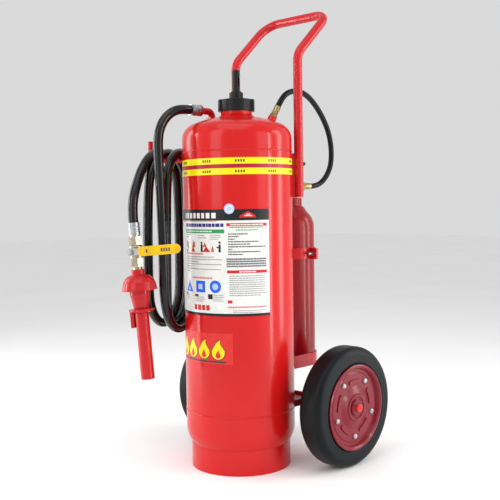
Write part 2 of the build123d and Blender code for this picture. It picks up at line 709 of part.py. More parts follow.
# ---------------------------------------------------------------- propellant gas cylinder
gas = base(0, GAS_Y, 0)
gas_floor_z = GAS_BOTTOM_Z + GAS_WALL + 1
GAS_HEEL_R = 14.0
heel_inset = GAS_HEEL_R * (1 - sqrt(0.5))
shoulder = (
    (GAS_R, GAS_SHOULDER_Z), (GAS_R - 3, GAS_SHOULDER_Z + 16), (GAS_R - 11, GAS_SHOULDER_Z + 32),
    (GAS_R - 23, GAS_SHOULDER_Z + 46), (GAS_NECK_R + 3, GAS_NECK_Z - 3), (GAS_NECK_R, GAS_NECK_Z),
)
with BuildPart() as gas_cylinder:
    with BuildSketch(Plane(origin=gas.origin, x_dir=(1, 0, 0), z_dir=(0, -1, 0))):
        with BuildLine():
            Line((0, GAS_BOTTOM_Z), (GAS_R - GAS_HEEL_R, GAS_BOTTOM_Z))
            ThreePointArc(
                (GAS_R - GAS_HEEL_R, GAS_BOTTOM_Z), (GAS_R - heel_inset, GAS_BOTTOM_Z + heel_inset),
                (GAS_R, GAS_BOTTOM_Z + GAS_HEEL_R),
            )
            Line((GAS_R, GAS_BOTTOM_Z + GAS_HEEL_R), shoulder[0])
            Spline(*shoulder, tangents=((0, 1), (-0.2, 1)))
            Polyline(
                (GAS_NECK_R, GAS_NECK_Z), (GAS_NECK_R, GAS_TOP_Z), (14, GAS_TOP_Z), (14, GAS_NECK_Z - 6),
                (GAS_R - 26, GAS_SHOULDER_Z + 34), (GAS_R - GAS_WALL, GAS_SHOULDER_Z),
                (GAS_R - GAS_WALL, GAS_BOTTOM_Z + 16), (GAS_R - 16, gas_floor_z), (0, gas_floor_z),
                (0, GAS_BOTTOM_Z),
            )
        make_face()
    revolve(axis=Axis(gas.origin, (0, 0, 1)))
save(gas_cylinder, "gas_cylinder")

outlet = base(0, GAS_Y, GAS_OUTLET_Z, up=(0, 1, 0))
with BuildPart() as gas_valve_body:
    rod(base(0, GAS_Y, GAS_NECK_Z), 13.9, GAS_TOP_Z - GAS_NECK_Z)
    hexagon(base(0, GAS_Y, GAS_TOP_Z), 32, 8)
    spin(gas, (0, GAS_TOP_Z + 8), (13, GAS_TOP_Z + 8), (13, 790), (11, 793), (11, 806), (0, 806))
    rod(outlet, 10.0, 26)
    rod(base(0, GAS_Y, GAS_OUTLET_Z - 2, up=(1, 0, 0), across=(0, 1, 0)), 8.0, 20)
    hexagon(base(20, GAS_Y, GAS_OUTLET_Z - 2, up=(1, 0, 0), across=(0, 1, 0)), 14, 5)
    rod(base(0, GAS_Y, GAS_NECK_Z), 4.0, 40, mode=Mode.SUBTRACT)
    rod(outlet, 3.0, 30, mode=Mode.SUBTRACT)
    rod(base(0, GAS_Y, 780), 5.0 + RUN_GAP, 40, mode=Mode.SUBTRACT)
save(gas_valve_body, "gas_valve_body")

WHEEL_RIM_H = 12.0
with BuildPart() as gas_valve_spindle:
    rod(base(0, GAS_Y, 781), 5.0, HANDWHEEL_Z + 8 - 781)
    hexagon(base(0, GAS_Y, HANDWHEEL_Z + 4), 13, 5)
save(gas_valve_spindle, "gas_valve_spindle")

with BuildPart() as gas_handwheel:
    with BuildSketch(Plane(origin=gas.origin, x_dir=(1, 0, 0), z_dir=(0, -1, 0))):
        with Locations((HANDWHEEL_R - 6, HANDWHEEL_Z)):
            Ellipse(6, WHEEL_RIM_H / 2)
    revolve(axis=Axis(gas.origin, (0, 0, 1)))
    rod(base(0, GAS_Y, HANDWHEEL_Z - 9), 11.0, 13)
    for spoke in range(5):
        turn = radians(72 * spoke + 20)
        arm = base(0, GAS_Y, HANDWHEEL_Z - 1, up=(cos(turn), sin(turn), 0), across=(0, 0, 1))
        with BuildSketch(arm) as arm_face:
            RectangleRounded(6, 9, 2)
        extrude(arm_face.sketch, amount=HANDWHEEL_R - 6)
    rod(base(0, GAS_Y, HANDWHEEL_Z - 20), 5.0, 40, mode=Mode.SUBTRACT)
save(gas_handwheel, "gas_handwheel")

NUT_FROM_Y = GAS_Y + 26
GAS_FERRULE_Y = 285.0
nut_foot = base(0, NUT_FROM_Y, GAS_OUTLET_Z, up=(0, 1, 0))
with BuildPart() as gas_outlet_nut:
    hexagon(nut_foot, 25, GAS_FERRULE_Y - NUT_FROM_Y - 8)
    rod(base(0, GAS_FERRULE_Y - 8, GAS_OUTLET_Z, up=(0, 1, 0)), 9.0, 8)
    rod(nut_foot, 3.0, 60, mode=Mode.SUBTRACT)
save(gas_outlet_nut, "gas_outlet_nut")

gas_ferrule_l = GAS_ROUTE[-1][1] - GAS_FERRULE_Y
with BuildPart() as gas_hose_ferrule:
    spin(
        base(0, GAS_FERRULE_Y, GAS_OUTLET_Z, up=(0, 1, 0)),
        (3, 0), (GAS_FERRULE_R, 0), (GAS_FERRULE_R, 6), (GAS_FERRULE_R - 0.7, 7), (GAS_FERRULE_R - 0.7, 10),
        (GAS_FERRULE_R, 11), (GAS_FERRULE_R, gas_ferrule_l), (3, gas_ferrule_l),
    )
save(gas_hose_ferrule, "gas_hose_ferrule")

with BuildPart() as gas_inlet_fitting:
    boss_top = base(*(inlet_foot + inlet_axis * 5), up=inlet_axis)
    hexagon(boss_top, 19, 9)
    spin(
        inlet,
        (3, 5), (9.0, 5), (9.0, 24), (8.2, 26), (8.2, 29), (9.2, 31), (9.2, INLET_L), (3, INLET_L),
    )
save(gas_inlet_fitting, "gas_inlet_fitting")

# Clamp: a half welded to the shell and a loose strap, bolted together through side ears.
def clamp_half(side):
    """One half of the clamp: a half ring with two ears; side is -1 toward the shell, 1 away."""
    ring_r = GAS_R + 0.3
    with BuildSketch(base(0, GAS_Y, CLAMP_Z)) as half:
        Circle(ring_r + CLAMP_THICK)
        with Locations((0, side * CLAMP_THICK / 2)):
            Rectangle(2 * CLAMP_EAR_X, CLAMP_THICK)
        Circle(ring_r, mode=Mode.SUBTRACT)
        with Locations((0, side * 100)):
            Rectangle(300, 200, mode=Mode.INTERSECT)
    return half.sketch


def drill_ears():
    """Bolt holes along Y through both ears."""
    for side in (1, -1):
        hole = base(side * CLAMP_BOLT_X, GAS_Y - 20, CLAMP_Z + CLAMP_H / 2, up=(0, 1, 0))
        rod(hole, 4.3, 40, mode=Mode.SUBTRACT)


with BuildPart() as clamp_saddle:
    extrude(clamp_half(-1), amount=CLAMP_H)
    with BuildSketch(base(0, (SHELL_R + GAS_Y - GAS_R) / 2, CLAMP_Z)) as pad:
        Rectangle(36, 32)
    extrude(pad.sketch, amount=CLAMP_H)
    rod(base(0, 0, CLAMP_Z - 1), SHELL_R, CLAMP_H + 2, mode=Mode.SUBTRACT)
    rod(base(0, GAS_Y, CLAMP_Z - 1), GAS_R + 0.3, CLAMP_H + 2, mode=Mode.SUBTRACT)
    drill_ears()
save(clamp_saddle, "clamp_saddle")

with BuildPart() as clamp_strap:
    extrude(clamp_half(1), amount=CLAMP_H)
    drill_ears()
save(clamp_strap, "clamp_strap")

with BuildPart() as clamp_bolts:
    for side in (1, -1):
        x, z = side * CLAMP_BOLT_X, CLAMP_Z + CLAMP_H / 2
        rod(base(x, GAS_Y - 24, z, up=(0, 1, 0)), 4.0, 30)
        hexagon(base(x, GAS_Y + CLAMP_THICK, z, up=(0, 1, 0)), 13, 5.5)
        hexagon(base(x, GAS_Y - CLAMP_THICK - 6.5, z, up=(0, 1, 0)), 13, 6.5)
save(clamp_bolts, "clamp_bolts")

# Tray: a U-shaped cup with a floor, welded to the shell, that carries the gas cylinder.
tray_r = GAS_R + 1.5


def tray_outline(radius):
    """The tray's plan: straight sides from the shell, and a half round behind the gas cylinder."""
    with BuildSketch(base(0, 0, TRAY_BOTTOM_Z)) as plan:
        with BuildLine():
            Polyline((radius, GAS_Y), (radius, 90), (-radius, 90), (-radius, GAS_Y))
            ThreePointArc((-radius, GAS_Y), (0, GAS_Y + radius), (radius, GAS_Y))
        make_face()
        Circle(SHELL_R, mode=Mode.SUBTRACT)
    return plan.sketch


with BuildPart() as gas_tray:
    extrude(tray_outline(tray_r + TRAY_THICK), amount=TRAY_TOP_Z - TRAY_BOTTOM_Z)
    with BuildSketch(base(0, 0, TRAY_BOTTOM_Z + TRAY_THICK + 1)) as cup:
        with BuildLine():
            Polyline((tray_r, GAS_Y), (tray_r, 90), (-tray_r, 90), (-tray_r, GAS_Y))
            ThreePointArc((-tray_r, GAS_Y), (0, GAS_Y + tray_r), (tray_r, GAS_Y))
        make_face()
    extrude(cup.sketch, amount=60, mode=Mode.SUBTRACT)
save(gas_tray, "gas_tray")

# ---------------------------------------------------------------- push handle
with BuildPart() as push_handle:
    for radius, mode in ((TUBE_R, Mode.ADD), (TUBE_R - TUBE_WALL, Mode.SUBTRACT)):
        with BuildLine() as handle_line:
            FilletPolyline(
                placed((HANDLE_X, HANDLE_Y, HANDLE_FOOT_Z)),
                placed((HANDLE_X, HANDLE_Y, HANDLE_BEND_Z)),
                placed((HANDLE_X, HANDLE_BAR_Y, HANDLE_BAR_Z)),
                placed((-HANDLE_X, HANDLE_BAR_Y, HANDLE_BAR_Z)),
                placed((-HANDLE_X, HANDLE_Y, HANDLE_BEND_Z)),
                placed((-HANDLE_X, HANDLE_Y, HANDLE_FOOT_Z)),
                radius=HANDLE_BEND_R,
            )
        with BuildSketch(Plane(origin=handle_line.line @ 0, z_dir=handle_line.line % 0)) as section:
            Circle(radius)
        sweep(section.sketch, path=handle_line.line, mode=mode)
    for side in (1, -1):
        radial = Vector(side * HANDLE_X, HANDLE_Y, 0).normalized()
        middle = radial * (SHELL_R + 6)
        with BuildSketch(base(middle.X, middle.Y, HANDLE_FOOT_Z, across=radial)) as web:
            Rectangle(22, HANDLE_PLATE)
        extrude(web.sketch, amount=UPPER_SEAM_Z - 6 - HANDLE_FOOT_Z)
        rod(base(side * HANDLE_X, HANDLE_Y, HANDLE_FOOT_Z - 1), TUBE_R - TUBE_WALL, 160, mode=Mode.SUBTRACT)
    rod(vessel, SHELL_R, 900, mode=Mode.SUBTRACT)
save(push_handle, "push_handle")

# ---------------------------------------------------------------- axle
AXLE_Z = TYRE_R
axle = base(0, AXLE_Y, AXLE_Z, up=(1, 0, 0), across=(0, 1, 0))


def axle_at(x):
    """A plane square to the axle at a distance x from the middle."""
    return base(x, AXLE_Y, AXLE_Z, up=(1, 0, 0), across=(0, 1, 0))


with BuildPart() as axle_tube:
    end = AXLE_TUBE_END_X
    spin(axle, (AXLE_R, -end), (AXLE_TUBE_R, -end), (AXLE_TUBE_R, end), (AXLE_R, end))
save(axle_tube, "axle_tube")

SHAFT_END_X = 281.0
with BuildPart() as axle_shaft:
    rod(axle_at(-SHAFT_END_X), AXLE_R, 2 * SHAFT_END_X)
save(axle_shaft, "axle_shaft")

cap_l = AXLE_CAP_X - SHAFT_END_X - 0.2
with BuildPart() as axle_caps:
    for side in (1, -1):
        spin(
            base(side * (SHAFT_END_X + 0.2), AXLE_Y, AXLE_Z, up=(side, 0, 0), across=(0, 1, 0)),
            (0, 0), (AXLE_CAP_R, 0), (AXLE_CAP_R, cap_l - 2.3), (AXLE_CAP_R - 2, cap_l), (0, cap_l),
        )
save(axle_caps, "axle_caps")

# Saddle: a thick flat plate round the back of the shell that meets the axle tube, on two upright ribs.
SADDLE_X = 118.0
SADDLE_FROM_Y = 96.0
SADDLE_THICK = 18.0
RIB_X = 34.0
RIB_THICK = 5.0
RIB_DROP = 62.0
with BuildPart() as axle_bracket:
    with BuildSketch(base(0, (SADDLE_FROM_Y + AXLE_Y) / 2, AXLE_Z - SADDLE_THICK / 2)):
        Rectangle(2 * SADDLE_X, AXLE_Y - SADDLE_FROM_Y)
    extrude(amount=SADDLE_THICK)
    for side in (1, -1):
        with BuildSketch(base(side * RIB_X, (SHELL_R + AXLE_Y) / 2 - 4, AXLE_Z - RIB_DROP)) as rib:
            Rectangle(RIB_THICK, AXLE_Y - SHELL_R + 8)
        extrude(rib.sketch, amount=RIB_DROP)
    rod(base(0, 0, 60), SHELL_R, 200, mode=Mode.SUBTRACT)
    rod(base(0, 0, LOWER_SEAM_Z), SHELL_R + SEAM_PROUD, 2 * SEAM_BEAD_R + 1, mode=Mode.SUBTRACT)
    rod(axle_at(-200), AXLE_TUBE_R, 400, mode=Mode.SUBTRACT)
save(axle_bracket, "axle_bracket")

# ---------------------------------------------------------------- wheels
BEAD_A = 34.0
LIP_A = 39.0
HUB_A = 43.0
BUSH_FROM_A = -30.0
BOLT_R = 4.0
TYRE_SHOULDER_R = 20.0
CRESCENT_R = 70.0
CRESCENT_W = 13.0
CRESCENT_SPAN = 30.0


def wheel_piece(side):
    """The wheel's middle plane, its z axis pointing away from the vessel."""
    return base(side * TYRE_X, AXLE_Y, AXLE_Z, up=(side, 0, 0), across=(0, 1, 0))


def make_wheel(side, word):
    """All sub-parts of one wheel."""
    middle = wheel_piece(side)
    across = Plane(origin=middle.origin, x_dir=middle.x_dir, z_dir=middle.x_dir.cross(middle.z_dir))
    spindle = Axis(middle.origin, middle.z_dir)
    crescent = CenterArc((0, 0), CRESCENT_R, -CRESCENT_SPAN / 2, CRESCENT_SPAN)

    with BuildPart() as tyre:
        with BuildSketch(across) as section:
            with BuildLine():
                Polyline(
                    (RIM_SEAT_R, -BEAD_A + 1), (RIM_LIP_R + 1.5, -BEAD_A + 1),
                    (RIM_LIP_R + 6, -TYRE_HALF_W), (TYRE_R, -TYRE_HALF_W), (TYRE_R, TYRE_HALF_W), (RIM_LIP_R + 6, TYRE_HALF_W),
                    (RIM_LIP_R + 1.5, BEAD_A - 1), (RIM_SEAT_R, BEAD_A - 1), close=True,
                )
            make_face()
            fillet(section.vertices().group_by(Axis.X)[-1], radius=TYRE_SHOULDER_R)
        revolve(axis=spindle)
    save(tyre, f"tyre_{word}")

    face_a = DISC_A + SHEET
    with BuildPart() as rim_outer:
        spin(
            middle,
            (BUSH_R, HUB_A), (21, HUB_A), (24, 40), (24, 37), (29, 37), (31, 39.5), (35, 39.5), (38, 36),
            (46, 34), (58, face_a), (92, face_a), (96, face_a - 2), (103, face_a - 2), (107, LIP_A - 3),
            (RIM_SEAT_R, LIP_A), (RIM_LIP_R, LIP_A - 1), (RIM_LIP_R, BEAD_A), (RIM_SEAT_R, BEAD_A),
            (109, LIP_A - 5), (105, DISC_A - 2), (94, DISC_A - 2), (91, DISC_A), (57, DISC_A),
            (44, 31.5), (37, 33.5), (BUSH_R, 33.5),
        )
        with BuildSketch(middle.offset(face_a - 0.5)):
            with PolarLocations(0, BOLT_COUNT, start_angle=BOLT_START + 180 / BOLT_COUNT):
                SlotArc(crescent, height=CRESCENT_W)
        extrude(amount=3.5, taper=20)
        with BuildSketch(middle):
            with PolarLocations(BOLT_CIRCLE_R, BOLT_COUNT, start_angle=BOLT_START):
                Circle(BOLT_R + 0.2)
        extrude(amount=60, mode=Mode.SUBTRACT)
    save(rim_outer, f"rim_outer_{word}")

    back_a = DISC_A - 2 * SHEET
    mating_a = DISC_A - 0.02
    well_r = RIM_SEAT_R - 2 * SHEET
    with BuildPart() as rim_inner:
        spin(
            middle,
            (BUSH_R, -28), (20, -28), (20, back_a), (91, back_a), (97, 10), (well_r, 5),
            (well_r, -BEAD_A - 1),
            (RIM_LIP_R, -LIP_A), (RIM_LIP_R, -BEAD_A), (RIM_SEAT_R, -BEAD_A), (RIM_SEAT_R, DISC_A - 7),
            (103, DISC_A - 7), (93, DISC_A - 3), (90, mating_a), (BUSH_R, mating_a),
        )
        with BuildSketch(middle.offset(-60)):
            with PolarLocations(BOLT_CIRCLE_R, BOLT_COUNT, start_angle=BOLT_START):
                Circle(BOLT_R + 0.2)
        extrude(amount=120, mode=Mode.SUBTRACT)
    save(rim_inner, f"rim_inner_{word}")

    with BuildPart() as bush:
        rod(middle.offset(BUSH_FROM_A), BUSH_R, HUB_A - BUSH_FROM_A)
        rod(middle.offset(BUSH_FROM_A), AXLE_R + RUN_GAP, HUB_A - BUSH_FROM_A, mode=Mode.SUBTRACT)
    save(bush, f"wheel_bush_{word}")

    with BuildPart() as bolts:
        for number in range(BOLT_COUNT):
            turn = radians(BOLT_START + 360 / BOLT_COUNT * number)
            radial = middle.x_dir * cos(turn) + middle.y_dir * sin(turn)
            spot = middle.origin + radial * BOLT_CIRCLE_R
            seat = Plane(origin=spot, x_dir=middle.x_dir, z_dir=middle.z_dir)
            spin(
                seat,
                (0, back_a - 9), (BOLT_R, back_a - 9), (BOLT_R, face_a), (8, face_a), (7.3, face_a + 3),
                (5, face_a + 5.2), (0, face_a + 6.2),
            )
            hexagon(seat.offset(back_a - 6.5), 13, 6.5)
    save(bolts, f"wheel_bolts_{word}")


make_wheel(1, "right")
make_wheel(-1, "left")
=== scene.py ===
import json
import random
from math import ceil, cos, pi, radians, sin

import bmesh
import bpy
from mathutils import Matrix, Vector


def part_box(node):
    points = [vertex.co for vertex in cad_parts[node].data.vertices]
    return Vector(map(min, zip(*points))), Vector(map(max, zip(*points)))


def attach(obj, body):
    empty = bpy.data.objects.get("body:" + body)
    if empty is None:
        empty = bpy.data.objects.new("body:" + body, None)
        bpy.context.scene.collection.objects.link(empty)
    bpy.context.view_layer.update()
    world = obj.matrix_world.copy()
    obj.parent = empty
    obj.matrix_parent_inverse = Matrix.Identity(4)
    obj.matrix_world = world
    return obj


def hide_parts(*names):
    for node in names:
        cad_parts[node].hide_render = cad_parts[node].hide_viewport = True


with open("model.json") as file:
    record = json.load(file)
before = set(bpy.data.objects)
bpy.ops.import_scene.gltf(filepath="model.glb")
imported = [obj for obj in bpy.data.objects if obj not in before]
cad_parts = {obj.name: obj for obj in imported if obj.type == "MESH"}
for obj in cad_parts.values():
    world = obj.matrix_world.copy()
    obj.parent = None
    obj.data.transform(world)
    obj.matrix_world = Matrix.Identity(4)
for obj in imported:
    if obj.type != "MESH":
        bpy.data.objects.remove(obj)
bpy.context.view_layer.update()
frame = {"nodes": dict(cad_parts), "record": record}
nodes = frame["nodes"]
scene = bpy.context.scene
scene.view_settings.view_transform = "Standard"

# ------------------------------------------------------------------ places, in metres
UP = Vector((0, 0, 1))
dish_low, dish_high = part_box("top_dish")
SHELL_R = (dish_high.x - dish_low.x) / 2
VESSEL = Vector(((dish_low.x + dish_high.x) / 2, (dish_low.y + dish_high.y) / 2, 0))
FRAME_BODY = "frame"
HOOK_ANGLE = radians(206)
OUT = Vector((cos(HOOK_ANGLE), sin(HOOK_ANGLE), 0))
FRONT = Vector((-sin(HOOK_ANGLE), cos(HOOK_ANGLE), 0))


def link(name, data):
    """A new object in the scene."""
    made = bpy.data.objects.new(name, data)
    scene.collection.objects.link(made)
    return made


def piece_from(work, name, material, body):
    """A finished bmesh as a piece that rides on a body and takes the material it is given."""
    mesh = bpy.data.meshes.new(name)
    work.to_mesh(mesh)
    work.free()
    mesh.materials.append(material)
    piece = link(name, mesh)
    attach(piece, body)
    return piece


# ------------------------------------------------------------------ camera
CAMERA_AZIMUTH = radians(44.553)
CAMERA_DISTANCE = 2.3297
CAMERA_HEIGHT = 0.7146
CAMERA_TURN = radians(0.7805)
CAMERA_TILT = radians(3.057)
CAMERA_ROLL = radians(-0.816)
CAMERA_LENS = 60.93


def make_camera():
    """The photograph's own view: from the front right, a little above the middle."""
    camera = link("camera", bpy.data.cameras.new("camera"))
    outward = Vector((sin(CAMERA_AZIMUTH), -cos(CAMERA_AZIMUTH), 0))
    turn = Matrix.Rotation(CAMERA_AZIMUTH - CAMERA_TURN, 4, "Z")
    tilt = Matrix.Rotation(pi / 2 - CAMERA_TILT, 4, "X")
    roll = Matrix.Rotation(CAMERA_ROLL, 4, "Z")
    place = VESSEL + outward * CAMERA_DISTANCE + UP * CAMERA_HEIGHT
    camera.matrix_world = Matrix.Translation(place) @ turn @ tilt @ roll
    camera.data.lens = CAMERA_LENS
    camera.data.sensor_width = 36
    scene.camera = camera


make_camera()


# ------------------------------------------------------------------ materials
class Recipe:
    """One node material, with helpers for the textures that its kind needs."""

    def __init__(self, name):
        self.material = bpy.data.materials.new(name)
        self.material.use_nodes = True
        self.tree = self.material.node_tree
        self.shader = self.tree.nodes["Principled BSDF"]
        self.coordinates = self.tree.nodes.new("ShaderNodeTexCoord").outputs["Object"]

    def add(self, kind, **values):
        node = self.tree.nodes.new(kind)
        for key, value in values.items():
            node.inputs[key].default_value = value
        return node

    def join(self, source, target):
        self.tree.links.new(source, target)

    def noise(self, scale, detail=3.0, stretch=(1, 1, 1), roughness=0.5):
        """Noise in metres of the object's own space; scale is features per metre."""
        mapping = self.add("ShaderNodeMapping", Scale=stretch)
        self.join(self.coordinates, mapping.inputs["Vector"])
        texture = self.add("ShaderNodeTexNoise", Scale=scale, Detail=detail, Roughness=roughness)
        self.join(mapping.outputs["Vector"], texture.inputs["Vector"])
        return texture.outputs["Fac"]

    def bands(self, source, *stops):
        """A ramp from a 0-1 value to colours: stops are (position, colour)."""
        ramp = self.tree.nodes.new("ShaderNodeValToRGB")
        while len(ramp.color_ramp.elements) < len(stops):
            ramp.color_ramp.elements.new(1.0)
        for element, (position, colour) in zip(ramp.color_ramp.elements, stops):
            element.position = position
            element.color = (*colour, 1)
        self.join(source, ramp.inputs["Fac"])
        return ramp.outputs["Color"]

    def range(self, source, low, high):
        """A 0-1 value stretched to low..high."""
        stretch = self.add("ShaderNodeMapRange")
        stretch.inputs["To Min"].default_value = low
        stretch.inputs["To Max"].default_value = high
        self.join(source, stretch.inputs["Value"])
        return stretch.outputs["Result"]

    def bump(self, source, strength, distance):
        """Adds one layer of relief on top of those already there."""
        relief = self.add("ShaderNodeBump", Strength=strength, Distance=distance)
        self.join(source, relief.inputs["Height"])
        normal = self.shader.inputs["Normal"]
        if normal.is_linked:
            self.join(normal.links[0].from_socket, relief.inputs["Normal"])
        self.join(relief.outputs["Normal"], normal)


def shade(colour, factor):
    """A darker or lighter version of a colour."""
    return tuple(min(1.0, channel * factor) for channel in colour)


def enamel(name, colour, gloss, waviness=0.0, coat=0.14):
    """Gloss stove enamel: a deeper tone in patches, orange peel, and slow waves of rolled sheet."""
    recipe = Recipe(name)
    patches = recipe.noise(5.0, detail=4.0)
    recipe.join(
        recipe.bands(patches, (0.25, shade(colour, 0.86)), (0.6, colour), (0.9, shade(colour, 1.07))),
        recipe.shader.inputs["Base Color"],
    )
    scuffs = recipe.noise(55.0, detail=6.0, stretch=(1, 1, 0.35), roughness=0.7)
    recipe.join(recipe.range(scuffs, gloss, gloss + 0.1), recipe.shader.inputs["Roughness"])
    if waviness:
        recipe.bump(recipe.noise(16.0, detail=1.0, stretch=(1, 1, 0.1)), waviness, 0.012)
    recipe.bump(recipe.noise(420.0, detail=2.0), 0.012, 0.001)
    recipe.shader.inputs["Coat Weight"].default_value = coat
    recipe.shader.inputs["Coat Roughness"].default_value = 0.05
    recipe.shader.inputs["Specular IOR Level"].default_value = 0.26
    return recipe.material


def moulded(name, colour, rough, grain=900.0, relief=0.12, coat=0.0):
    """Moulded plastic or dipped vinyl: fine grain, a little tone, small scuffs."""
    recipe = Recipe(name)
    tone = recipe.noise(30.0, detail=5.0)
    recipe.join(
        recipe.bands(tone, (0.3, shade(colour, 0.8)), (0.7, shade(colour, 1.15))),
        recipe.shader.inputs["Base Color"],
    )
    recipe.join(
        recipe.range(recipe.noise(140.0, detail=4.0), rough - 0.06, rough + 0.1),
        recipe.shader.inputs["Roughness"],
    )
    recipe.bump(recipe.noise(grain, detail=2.0), relief, 0.0006)
    recipe.shader.inputs["Specular IOR Level"].default_value = 0.2
    recipe.shader.inputs["Coat Weight"].default_value = coat
    recipe.shader.inputs["Coat Roughness"].default_value = 0.08
    return recipe.material


def metal(name, colour, rough, relief=0.08, tarnish=0.75):
    """Bare or plated metal: a fine grain, and duller patches."""
    recipe = Recipe(name)
    recipe.shader.inputs["Metallic"].default_value = 1.0
    patches = recipe.noise(45.0, detail=6.0, roughness=0.65)
    recipe.join(
        recipe.bands(patches, (0.35, shade(colour, tarnish)), (0.65, colour)),
        recipe.shader.inputs["Base Color"],
    )
    recipe.join(
        recipe.range(recipe.noise(90.0, detail=5.0), rough - 0.08, rough + 0.14),
        recipe.shader.inputs["Roughness"],
    )
    recipe.bump(recipe.noise(500.0, detail=3.0), relief, 0.0008)
    return recipe.material


def hose_skin(name, colour, rough, coat):
    """Extruded rubber: smooth and glossy, with a faint lengthwise grain and handling marks."""
    recipe = Recipe(name)
    marks = recipe.noise(70.0, detail=6.0, roughness=0.7)
    recipe.join(
        recipe.bands(marks, (0.35, shade(colour, 0.7)), (0.62, colour), (0.8, shade(colour, 2.2))),
        recipe.shader.inputs["Base Color"],
    )
    recipe.join(recipe.range(marks, rough, rough + 0.16), recipe.shader.inputs["Roughness"])
    recipe.bump(recipe.noise(160.0, detail=4.0, stretch=(1, 1, 0.5)), 0.22, 0.0012)
    recipe.bump(recipe.noise(1500.0, detail=1.0), 0.05, 0.0005)
    recipe.shader.inputs["Coat Weight"].default_value = coat
    recipe.shader.inputs["Coat Roughness"].default_value = 0.06
    recipe.shader.inputs["Specular IOR Level"].default_value = 0.1
    return recipe.material


def tread_rubber(name, colour):
    """Smooth solid rubber: matt, faintly dusty, with shallow rings from the mould."""
    recipe = Recipe(name)
    dust = recipe.noise(22.0, detail=7.0, roughness=0.65)
    recipe.join(
        recipe.bands(dust, (0.3, shade(colour, 0.75)), (0.62, colour), (0.85, shade(colour, 1.5))),
        recipe.shader.inputs["Base Color"],
    )
    recipe.join(recipe.range(dust, 0.3, 0.5), recipe.shader.inputs["Roughness"])
    recipe.bump(recipe.noise(1200.0, detail=3.0), 0.1, 0.0006)
    recipe.bump(recipe.noise(35.0, detail=2.0, stretch=(2.5, 0.5, 0.5)), 0.12, 0.002)
    recipe.shader.inputs["Specular IOR Level"].default_value = 0.14
    return recipe.material


def printed(name, colour, rough=0.35):
    """Ink or film of a printed sticker: slightly uneven tone under a thin clear layer."""
    recipe = Recipe(name)
    recipe.join(
        recipe.bands(recipe.noise(60.0, detail=5.0), (0.3, shade(colour, 0.92)), (0.7, shade(colour, 1.03))),
        recipe.shader.inputs["Base Color"],
    )
    recipe.bump(recipe.noise(300.0, detail=2.0), 0.03, 0.0006)
    recipe.shader.inputs["Roughness"].default_value = rough
    recipe.shader.inputs["Specular IOR Level"].default_value = 0.25
    recipe.shader.inputs["Coat Weight"].default_value = 0.1
    recipe.shader.inputs["Coat Roughness"].default_value = 0.18
    return recipe.material


SLOT_MATERIALS = {
    "shell_red": enamel("shell_enamel", (0.61, 0.008, 0.008), 0.16, waviness=0.10),
    "trim_red": enamel("trim_enamel", (0.54, 0.010, 0.014), 0.22),
    "gas_red": enamel("gas_enamel", (0.27, 0.002, 0.006), 0.2, waviness=0.04),
    "dark_red": enamel("wheel_enamel", (0.21, 0.003, 0.014), 0.26),
    "cap_red": moulded("cap_red_plastic", (0.80, 0.03, 0.03), 0.3, coat=0.3),
    "black_plastic": moulded("black_plastic", (0.012, 0.012, 0.013), 0.34, relief=0.2),
    "seal_rubber": moulded("seal_rubber", (0.02, 0.02, 0.02), 0.6),
    "white_plastic": moulded("white_plastic", (0.8, 0.8, 0.76), 0.4),
    "steel": metal("plain_steel", (0.5, 0.5, 0.5), 0.3),
    "zinc_steel": metal("zinc_plate", (0.46, 0.47, 0.48), 0.34, relief=0.04),
    "nickel_brass": metal("nickel_plate", (0.60, 0.52, 0.38), 0.24, relief=0.04, tarnish=0.5),
    "yellow_vinyl": moulded("yellow_vinyl", (0.78, 0.46, 0.0), 0.3, grain=500.0, relief=0.08, coat=0.2),
    "brass": metal("aged_brass", (0.46, 0.36, 0.15), 0.3, tarnish=0.55),
    "black_metal": moulded("black_casting", (0.012, 0.012, 0.012), 0.35, grain=600.0, relief=0.3),
    "hose_rubber": hose_skin("hose_rubber", (0.004, 0.004, 0.005), 0.14, 0.55),
    "gas_hose_rubber": hose_skin("gas_hose_rubber", (0.005, 0.006, 0.006), 0.3, 0.1),
    "tyre_rubber": tread_rubber("tyre_rubber", (0.006, 0.008, 0.009)),
    "bush_plastic": moulded("bush_plastic", (0.05, 0.05, 0.05), 0.45),
}


def dress_nodes():
    """Every CAD node takes the material of its slot in the record."""
    for part in frame["record"]["subparts"]:
        node = nodes[part["node"]]
        node.data.materials.clear()
        node.data.materials.append(SLOT_MATERIALS[part["material_slot"]])


dress_nodes()

# ------------------------------------------------------------------ hoses
HOSE_R = 0.013
GAS_HOSE_R = 0.008
COIL_HALF_W = 0.118
COIL_TOP_Z = 0.862
COIL_BOTTOM_Z = 0.384
COIL_STEP = 30
COIL_STOPS = (
    (225, 0.168), (360, 0.168), (450, 0.160), (540, 0.195), (720, 0.199), (810, 0.219), (900, 0.223),
    (990, 0.2255), (1080, 0.225),
)
NOZZLE_TOP = OUT * 0.226 + FRONT * 0.188 + UP * 0.672
NOZZLE_TILT = radians(4.5)
NOZZLE_DOWN = -OUT * sin(NOZZLE_TILT) - UP * cos(NOZZLE_TILT)
INLET_TILT = radians(35)
INLET_TOP = Vector((0.072, 0.088, 0.981))
INLET_AXIS = Vector((0, sin(INLET_TILT), cos(INLET_TILT)))


def beside(q, s, z):
    """A point q out along the hook's arm, s toward the front of the coil, at height z."""
    return OUT * q + FRONT * s + UP * z


def on_coil(q, degrees, radius):
    """A point round the coil, counted from its top toward the front, where its ends are half rings."""
    turn = radians(degrees)
    centre_z = COIL_TOP_Z - COIL_HALF_W if cos(turn) > 0 else COIL_BOTTOM_Z + COIL_HALF_W
    return beside(q, radius * sin(turn), centre_z + radius * cos(turn))


